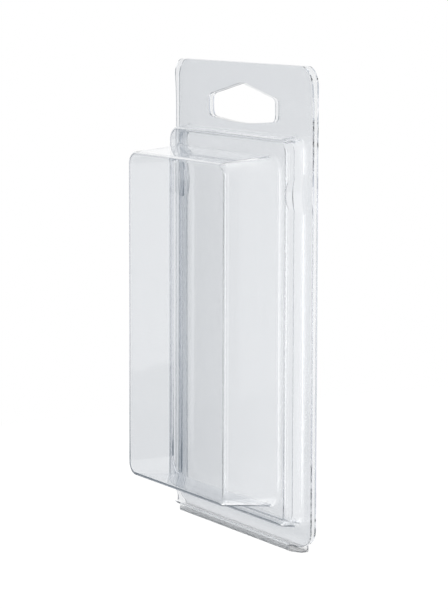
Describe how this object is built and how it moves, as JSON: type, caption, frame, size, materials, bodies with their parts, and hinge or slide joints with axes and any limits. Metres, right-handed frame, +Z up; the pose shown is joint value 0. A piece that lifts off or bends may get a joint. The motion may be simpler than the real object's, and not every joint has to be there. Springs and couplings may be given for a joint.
{
  "type": "plastic clamshell pack",
  "caption": "Clear thermoformed hanging clamshell: a lid with a raised plinth and deep box, folding from a plugged back half, with a hang hole in the header.",
  "frame": {"origin": "apex of the hang hole, on the rear face of the back half, where a hook would carry the pack", "axes": "+Z up as it hangs, -Y out of the front towards the shopper, +X to the right seen from the front; X = 0 is the plane of symmetry"},
  "size_m": [0.066, 0.0192, 0.1113],
  "materials": {
    "clear_sheet": "clear glossy formed sheet"
  },
  "bodies": {
    "back": {"back_shell": "clear_sheet"},
    "lid": {"front_shell": "clear_sheet"}
  },
  "joints": [
    {"name": "lid_fold", "type": "hinge", "parent": "back", "child": "lid", "pos_m": [0, -0.0002, -0.1064], "axis": [1, 0, 0], "range_deg": [0, 180]}
  ]
}
